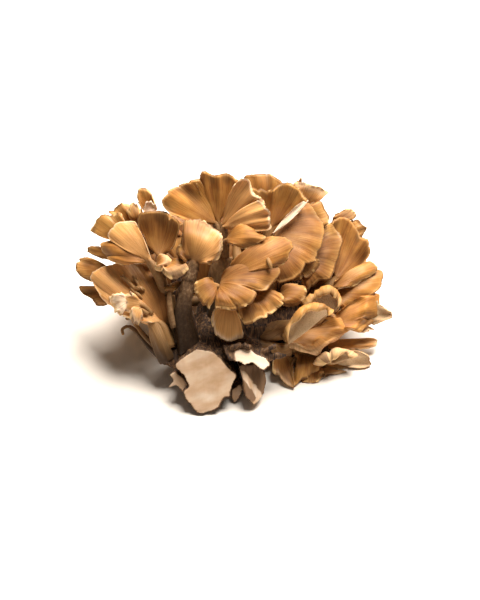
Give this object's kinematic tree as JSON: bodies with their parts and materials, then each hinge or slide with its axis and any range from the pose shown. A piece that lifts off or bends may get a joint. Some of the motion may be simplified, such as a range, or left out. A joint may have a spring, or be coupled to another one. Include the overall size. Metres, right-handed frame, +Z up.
{
  "type": "maitake mushroom",
  "caption": "Whole maitake mushroom cut from its log and laid on a table: a knife-cut butt that forks into fronds of thin, overlapping fan-shaped caps.",
  "frame": {"origin": "centre of the bounding box's bottom face, on the table that the mushroom lies on", "axes": "+X from the left fronds to the right fronds, +Y from the cut butt towards the crown's back, +Z up from the table"},
  "size_m": [0.1647, 0.1196, 0.082],
  "materials": {
    "cap_skin": "fine radial fibres, golden brown, satin where fresh",
    "stem_flesh": "matte pale flesh, smooth and cream where a knife cut it"
  },
  "bodies": {
    "root": {"butt": "stem_flesh", "left_low_frond": "cap_skin", "left_high_frond": "cap_skin", "bud": "cap_skin", "middle_frond": "cap_skin", "crown_frond": "cap_skin", "upper_right_frond": "cap_skin", "centre_frond": "cap_skin", "right_high_frond": "cap_skin", "right_mid_frond": "cap_skin", "right_low_frond": "cap_skin"}
  },
  "joints": []
}
